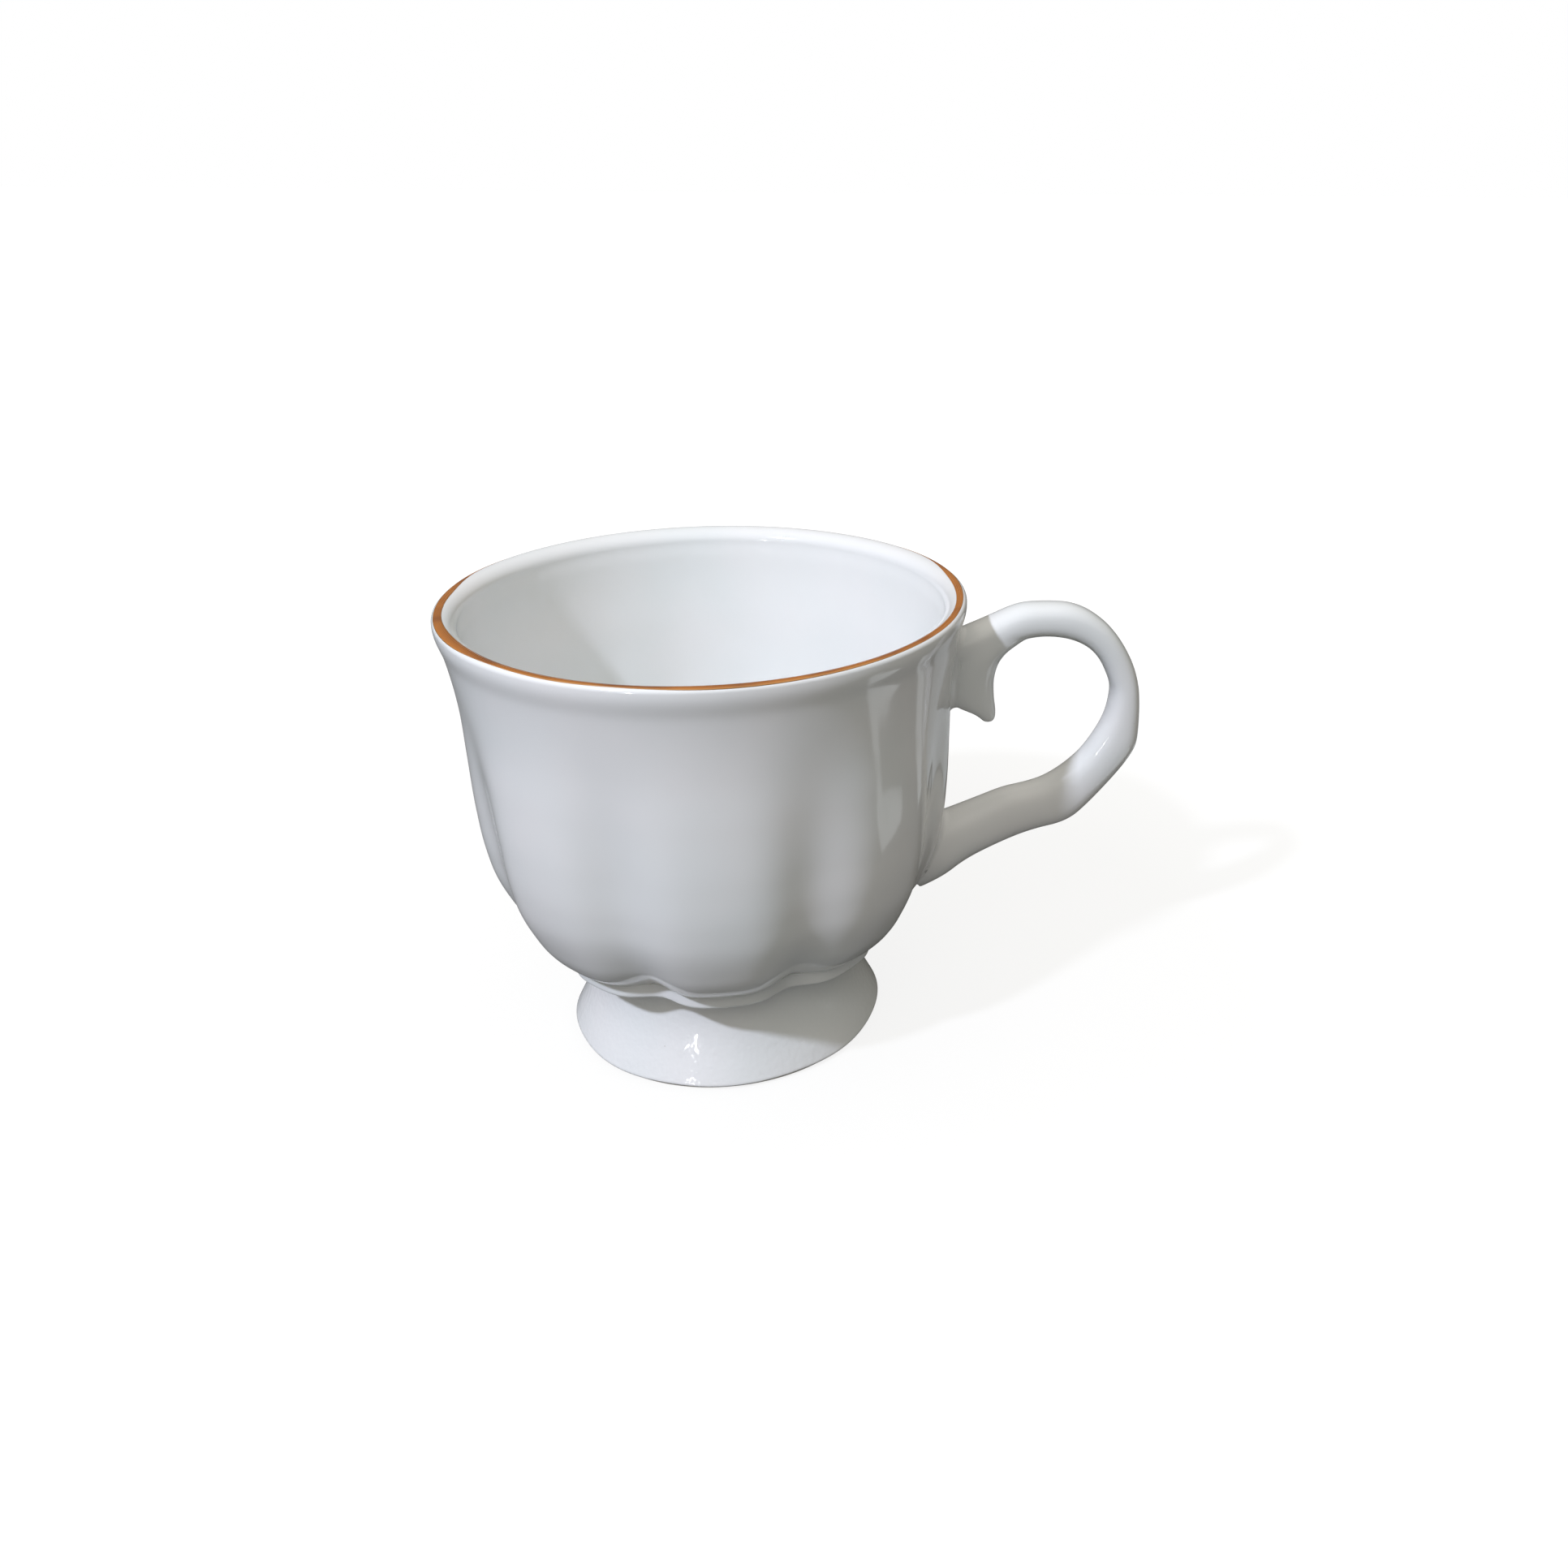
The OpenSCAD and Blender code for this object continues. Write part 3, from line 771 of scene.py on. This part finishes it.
def fillet_mesh(name, bowl, handle_tree, height, radius, reach, steps=180, arc_steps=10):
    """The glaze fillet that a ball leaves as it rolls in the corner between the
    bowl's wall and the handle, round a root whose middle is at a height."""
    halvings, smoothings = 22, 12
    # The fillet's face runs on a little under the wall and the handle, and is a
    # little wider than the ball. Its back lies deeper than the corner
    overrun, widening, back_depth, flattest = 0.06, 1.006, 0.15 * MM, 0.2

    def clearance(turn, far):
        z = height + far * math.sin(turn)
        angle = math.asin(max(-1, min(1, far * math.cos(turn) / lobe_radius(bowl, z))))
        touch = wall_point(bowl, angle, z)
        middle = touch + wall_normal(bowl, angle, z) * radius
        near, normal, _, distance = handle_tree.find_nearest(middle)
        inside = (middle - near).dot(normal) < 0
        return (-distance if inside else distance), middle, touch, near

    rings = []
    for turn in np.arange(steps) * math.tau / steps:
        low, high = 0.0, reach
        for _ in range(halvings):
            far = (low + high) / 2
            if clearance(turn, far)[0] < radius:
                low = far
            else:
                high = far
        _, middle, touch, near = clearance(turn, high)
        to_wall, to_handle = touch - middle, near - middle
        opening = to_wall.angle(to_handle)
        ring = []
        for s in np.linspace(-overrun, 1 + overrun, arc_steps):
            a, b = math.sin((1 - s) * opening), math.sin(s * opening)
            ring.append(middle + (to_wall * a + to_handle * b) / math.sin(opening) * widening)
        deep = min(radius / max(math.cos(opening / 2), flattest) + back_depth, 3 * radius)
        ring.append(middle + (to_wall + to_handle).normalized() * deep)
        rings.append(ring)
    rings = np.array(rings)
    for _ in range(smoothings):
        rings = (np.roll(rings, 1, axis=0) + 2 * rings + np.roll(rings, -1, axis=0)) / 4
    return mesh_from(name, rings.reshape(-1, 3), grid_faces(steps, arc_steps + 1, wrap_rows=True))


# Operators, one for each piece


class TEACUP_OT_bowl(Operator):
    """Turns the scalloped bowl with its rolled lip and its rounded floor"""

    bl_idname = "teacup.make_bowl"
    bl_label = "Make the bowl"

    def execute(self, context):
        bowl = context.scene.teacup.bowl
        roll = bowl.lip_roll
        floor_z = bowl.bottom + bowl.floor
        wall_steps, roll_steps, lip_steps, inner_steps = 110, 10, 14, 84
        # Rows lie closer together towards the lower edge and the floor, and the
        # wall thins quickly below the lip
        outer_crowding, inner_crowding, thinning_power = 1.25, 1.5, 2.5
        chamfer, underside = 0.35 * MM, 0.6
        outline = [(0, bowl.bottom, 0), (bowl.base_radius * underside, bowl.bottom, bowl.valley / 2)]
        outline.append((bowl.base_radius - chamfer, bowl.bottom, valley_depth(bowl, bowl.bottom)))
        for t in np.linspace(0, 1, wall_steps)[1:]:
            z = mix(bowl.bottom, bowl.top - roll, t**outer_crowding)
            outline.append((lobe_radius(bowl, z), z, valley_depth(bowl, z)))
        outline += arc(bowl.rim_radius - roll, bowl.top - roll, roll, 0, 90, roll_steps)[1:]
        for a in np.linspace(0, math.pi / 2, lip_steps)[1:]:
            outline.append((*lip_point(bowl, -bowl.lip_inset * math.sin(a)), 0))
        inner_r, inner_z, _ = outline[-1]
        thicker = lobe_radius(bowl, inner_z) - bowl.wall - inner_r
        for t in np.linspace(0, math.pi / 2, inner_steps)[1:-1]:
            z = floor_z + (inner_z - floor_z) * math.cos(t) ** inner_crowding
            below = max(0.0, (floor_z + bowl.floor_curve - z) / bowl.floor_curve)
            share = (1 - below**FLOOR_POWER) ** (1 / FLOOR_POWER)
            depth = valley_depth(bowl, z) * INNER_VALLEY * share
            wall = bowl.wall + thicker * max(0.0, 1 - (inner_z - z) / bowl.thinning) ** thinning_power
            outline.append(((lobe_radius(bowl, z) - wall) * share, z, depth))
        outline.append((0, floor_z, 0))
        finish_piece("scalloped_bowl", turned_mesh(outline, bowl, VALLEY_POWER), "bowl")
        return {"FINISHED"}


class TEACUP_OT_rim_line(Operator):
    """Bands the lip with a thin enamel line whose edges wander as a brush's do"""

    bl_idname = "teacup.make_rim_line"
    bl_label = "Make the rim line"

    def execute(self, context):
        settings = context.scene.teacup
        bearings, inner, outer, loads = (np.array(column, float) for column in zip(*LINE_EDGES))
        steps, rows = 720, 13
        # In millimetres: how far the two edges wander, and how deep the line lies
        inner_wander, outer_wander, sunk = 0.025, 0.015, 0.02

        def wave(bearing, waves, start):
            return math.sin(math.radians(bearing * waves + start))

        points, thickness, across = [], [], []
        for step in range(steps):
            bearing = -180 + 360 * step / steps
            low, high, load = (curve_at(bearings, column, bearing) for column in (inner, outer, loads))
            low += inner_wander * (wave(bearing, 7, 0) + wave(bearing, 17, 40))
            high += outer_wander * wave(bearing, 11, 70)
            turn = math.radians(bearing - 90)
            for row in range(2 * rows - 2):
                top = row < rows
                share = row / (rows - 1) if top else (2 * rows - 2 - row) / (rows - 1)
                body = math.sqrt(max(0.0, 1 - (2 * share - 1) ** 2))
                rise = settings.rim_line.height * body if top else -sunk * MM
                r, z = lip_point(settings.bowl, mix(high, low, share) * MM, rise)
                points.append((r * math.cos(turn), r * math.sin(turn), z))
                thickness.append(load * body if top else 0.0)
                across.append(share)
        mesh = mesh_from("rim_line", points, grid_faces(steps, 2 * rows - 2, wrap_rows=True))
        for name, values in (("thickness", thickness), ("across", across)):
            mesh.attributes.new(name, "FLOAT", "POINT").data.foreach_set("value", values)
        finish_piece("rim_line_band", mesh, "rim_line", "enamel")
        return {"FINISHED"}


class TEACUP_OT_collar(Operator):
    """Turns the scalloped collar that joins the bowl to its foot"""

    bl_idname = "teacup.make_collar"
    bl_label = "Make the collar"

    def execute(self, context):
        settings = context.scene.teacup
        bowl, collar, foot = settings.bowl, settings.collar, settings.foot
        low, high = COLLAR_BOX[0].z, COLLAR_BOX[1].z
        top = high + collar.seat
        hollow = foot.top_radius - foot.wall
        ledge, overlap, edge_steps, band_steps = 0.6 * MM, 2 * MM, 8, 12
        outline = [(hollow, high, 0), (hollow, low, 0), (foot.top_radius + ledge, low, 0)]
        edge_z = high - collar.band + collar.edge
        outline += arc(collar.radius - collar.edge, edge_z, collar.edge, -80, 0, edge_steps, collar.valley)
        for t in np.linspace(0, 1, band_steps)[1:]:
            outline.append((collar.radius, mix(edge_z, top, t), collar.valley))
        outline += [(bowl.base_radius - overlap, top, collar.valley), (hollow, high, 0)]
        finish_piece("scalloped_collar", turned_mesh(outline, bowl, VALLEY_POWER), "foot_joint")
        return {"FINISHED"}


class TEACUP_OT_foot(Operator):
    """Turns the spread foot, hollow underneath, with eight faint ridges"""

    bl_idname = "teacup.make_foot"
    bl_label = "Make the foot"

    def execute(self, context):
        settings = context.scene.teacup
        foot = settings.foot
        ring_top, top = FOOT_BOX[0].z, FOOT_BOX[1].z
        low = ring_top + foot.edge
        inner_steps, edge_steps, outer_steps, inner_chamfer = 36, 9, 60, 0.5 * MM

        def radius(z):
            spread = curve_at(FOOT_HEIGHTS, FOOT_SPREADS, (z - low) / (top - low))
            return mix(foot.top_radius, foot.radius, spread)

        def ridge(z):
            return foot.ridge * min(1, (top - z) / (0.5 * (top - low)))

        crown = (foot.top_radius - foot.wall, top, 0)
        outline = [crown]
        outline += [(radius(z) - foot.wall, z, 0) for z in np.linspace(top, low, inner_steps)]
        outline.append((foot.radius - foot.wall - inner_chamfer, ring_top, 0))
        outline += arc(foot.radius - foot.edge, low, foot.edge, -90, 0, edge_steps, ridge(low))
        outline += [(radius(z), z, ridge(z)) for z in np.linspace(low, top, outer_steps)[1:]]
        outline.append(crown)
        finish_piece("spread_foot", turned_mesh(outline, settings.bowl, ROUND_POWER), "foot")
        return {"FINISHED"}


class TEACUP_OT_standing_ring(Operator):
    """Turns the unglazed ring that the cup stands on"""

    bl_idname = "teacup.make_standing_ring"
    bl_label = "Make the standing ring"

    def execute(self, context):
        settings = context.scene.teacup
        outer, high = RING_BOX[1].x, RING_BOX[1].z
        inner = outer - settings.foot.ring_width
        edge, edge_steps = high / 2, 7
        outline = arc(outer - edge, edge, edge, -90, 0, edge_steps) + [(outer, high, 0), (inner, high, 0)]
        outline += arc(inner + edge, edge, edge, 180, 270, edge_steps)
        outline.append(outline[0])
        mesh = turned_mesh(outline, settings.bowl, ROUND_POWER)
        finish_piece("standing_ring_ground", mesh, "standing_ring", "bisque")
        return {"FINISHED"}


class TEACUP_OT_handle(Operator):
    """Fuses the loop and its thumb spur into one smooth handle, and runs the
    glaze fillets round both roots"""

    bl_idname = "teacup.make_handle"
    bl_label = "Make the handle"

    def execute(self, context):
        settings = context.scene.teacup
        bowl, handle = settings.bowl, settings.handle
        work = bmesh.new()
        work.from_mesh(loft("loop", loop_rings(settings)))
        work.from_mesh(loft("spur", spur_rings(settings)))
        bmesh.ops.recalc_face_normals(work, faces=work.faces)
        blank_mesh = bpy.data.meshes.new("handle_blank")
        work.to_mesh(blank_mesh)
        work.free()
        blank = put_in_scene("handle_blank", blank_mesh)
        fuse = blank.modifiers.new("Fuse", "REMESH")
        fuse.mode = "VOXEL"
        fuse.voxel_size = handle.grain
        fuse.adaptivity = 0.0
        soften = blank.modifiers.new("Soften", "SMOOTH")
        soften.factor = 0.5
        soften.iterations = 16
        mesh = baked_mesh(blank)
        for vertex in mesh.vertices:
            x, y, z = vertex.co
            angle = math.atan2(y, x)
            inmost = wall_radius(bowl, angle, z) - ROOT_DEPTH
            if math.hypot(x, y) < inmost:
                vertex.co = (inmost * math.cos(angle), inmost * math.sin(angle), z)
        piece = finish_piece("looped_handle", mesh, "handle")
        corners = [v.co for v in piece.data.vertices]
        skin = BVHTree.FromPolygons(corners, [tuple(p.vertices) for p in piece.data.polygons])
        beyond = 4 * MM
        for place, radius in (("upper", handle.upper_fillet), ("lower", handle.lower_fillet)):
            name, node = place + "_handle_fillet", place + "_handle_joint"
            low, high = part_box(node)
            reach = (high.z - low.z) / 2 + beyond
            finish_piece(name, fillet_mesh(name, bowl, skin, (low.z + high.z) / 2, radius, reach), node)
        return {"FINISHED"}


class TEACUP_OT_stage(Operator):
    """Sets the pale floor, the lamps, the room's light and the camera"""

    bl_idname = "teacup.make_stage"
    bl_label = "Make the stage"

    def execute(self, context):
        scene = context.scene
        stage = scene.teacup.stage
        scene.view_settings.view_transform = "Standard"
        far = FLOOR_REACH
        corners = (-far, -far, 0), (far, -far, 0), (far, far, 0), (-far, far, 0)
        self.sheet("floor", corners, made_of(matt_table))
        scene.world = self.room(stage)
        level = math.cos(stage.key_height)
        away = Vector((math.sin(stage.key_bearing) * level, -math.cos(stage.key_bearing) * level, 0))
        away.z = math.sin(stage.key_height)
        key = self.lamp("key", stage.key_power, stage.key_size, AIM + away * stage.key_distance)
        key.data.color = stage.key_colour[:3]
        fill = self.lamp("soft_box", stage.fill_power, stage.fill_size, SOFT_BOX_PLACE)
        fill.data.color = stage.room_colour[:3]
        fill.visible_glossy = False
        strip = self.lamp("strip", stage.strip_power, stage.strip_width, STRIP_PLACE)
        strip.data.shape = "RECTANGLE"
        strip.data.size_y = stage.strip_height
        strip.visible_diffuse = False
        for name, corners, level in REFLECTORS:
            self.reflector(name, corners, level, stage)
        self.camera(scene)
        return {"FINISHED"}

    def room(self, stage):
        """Light from overhead, and white where the camera looks past the table."""
        world = bpy.data.worlds.new("room")
        add = clear_tree(world)
        way = add("TexCoord", output="Generated")
        way = add("SeparateXYZ", (way,), None)
        high = add("Math", (way["Z"], 0.0), operation="MAXIMUM")
        steep = add("Math", (way["Z"],), operation="ABSOLUTE")
        level = add("Math", (1.0, steep), operation="SUBTRACT")
        side = (way["Y"], -stage.front, stage.walls)
        side = add("Math", side, operation="MULTIPLY_ADD")
        side = add("Math", (side, level), operation="MULTIPLY")
        light = add("Math", (high, stage.ceiling, side), operation="MULTIPLY_ADD")
        even = add("Background", {"Color": stage.room_colour, "Strength": light})
        white = add("Background", {"Color": (1, 1, 1, 1), "Strength": 1.0})
        camera = add("LightPath", output="Is Camera Ray")
        seen = add("MixShader", (camera, even, white))
        add("OutputWorld", {"Surface": seen})
        return world

    def lamp(self, name, power, size, place):
        """A round lamp that looks at the cup."""
        data = bpy.data.lights.new(name, "AREA")
        data.shape = "DISK"
        data.size = size
        data.energy = power
        lamp = put_in_scene(name, data)
        lamp.location = place
        lamp.rotation_euler = (AIM - place).to_track_quat("-Z", "Y").to_euler()
        return lamp

    def sheet(self, name, corners, material):
        """A flat sheet round its corners that belongs to the stage."""
        mesh = mesh_from(name, corners, [tuple(range(len(corners)))])
        mesh.materials.append(material)
        sheet = put_in_scene(name, mesh)
        return sheet

    def reflector(self, name, corners, level, stage):
        """A bright card low beside the cup that only the glaze shows."""
        material = bpy.data.materials.new(name)
        add = clear_tree(material)
        shine = add("Emission", {"Color": stage.card_colour, "Strength": level})
        add("OutputMaterial", {"Surface": shine})
        card = self.sheet(name, [(x * MM, y * MM, CARD_HEIGHT) for x, y in corners], material)
        card.visible_camera = card.visible_diffuse = card.visible_shadow = False

    def camera(self, scene):
        """The photograph's camera: its lens, place and tilt, and its off-centre frame."""
        focal, middle_x, middle_y = 1769.0, 1190.0, 880.0
        distance, aim_z = 0.26805, 0.041265
        lift, roll, yaw, pitch = (math.radians(a) for a in (26.17, 3.836, 9.973, -3.08))
        stand = math.radians(1.446)
        place = Vector((0, -distance * math.cos(lift), aim_z + distance * math.sin(lift)))
        ahead = (Vector((0, 0, aim_z)) - place).normalized()
        right = Vector((1, 0, 0))
        rows = Matrix((right, right.cross(ahead), -ahead))
        turn = Matrix.Rotation(roll, 3, "Z") @ Matrix.Rotation(pitch, 3, "X") @ Matrix.Rotation(yaw, 3, "Y")
        about = Matrix.Rotation(stand, 3, "Z")
        facing = (turn @ rows @ about.transposed()).transposed()
        data = bpy.data.cameras.new("camera")
        data.sensor_width = 36.0
        data.lens = focal / PHOTO_PIXELS * data.sensor_width
        half = PHOTO_PIXELS / 2
        data.shift_x = (half - middle_x) / PHOTO_PIXELS
        data.shift_y = (middle_y - half) / PHOTO_PIXELS
        data.clip_start, data.clip_end = 0.01, 20.0
        camera = put_in_scene("camera", data)
        camera.matrix_world = Matrix.Translation(about @ place) @ facing.to_4x4()
        scene.camera = camera


class TEACUP_PT_panel(Panel):
    """Lists the teacup's sizes, colours and makers in the sidebar"""

    bl_idname = "TEACUP_PT_panel"
    bl_label = "Teacup"
    bl_space_type = "VIEW_3D"
    bl_region_type = "UI"
    bl_category = "Teacup"

    def draw(self, context):
        for group in TeacupSettings.__annotations__:
            box = self.layout.box()
            box.label(text=group.replace("_", " ").capitalize())
            values = getattr(context.scene.teacup, group)
            for value in values.__annotations__:
                box.prop(values, value)
        for maker in MAKERS:
            self.layout.operator(maker.bl_idname)


MAKERS = (
    TEACUP_OT_stage,
    TEACUP_OT_bowl,
    TEACUP_OT_rim_line,
    TEACUP_OT_collar,
    TEACUP_OT_foot,
    TEACUP_OT_standing_ring,
    TEACUP_OT_handle,
)
GROUPS = (BowlSettings, RimLineSettings, CollarSettings, FootSettings, HandleSettings, GlazeSettings)
CLASSES = (*GROUPS, StageSettings, TeacupSettings, *MAKERS, TEACUP_PT_panel)


def register():
    for item in CLASSES:
        bpy.utils.register_class(item)
    bpy.types.Scene.teacup = PointerProperty(type=TeacupSettings)


def unregister():
    del bpy.types.Scene.teacup
    for item in reversed(CLASSES):
        bpy.utils.unregister_class(item)


def main():
    register()
    bpy.ops.teacup.make_stage()
    bpy.ops.teacup.make_bowl()
    bpy.ops.teacup.make_rim_line()
    bpy.ops.teacup.make_collar()
    bpy.ops.teacup.make_foot()
    bpy.ops.teacup.make_standing_ring()
    bpy.ops.teacup.make_handle()


if __name__ == "__main__":
    main()
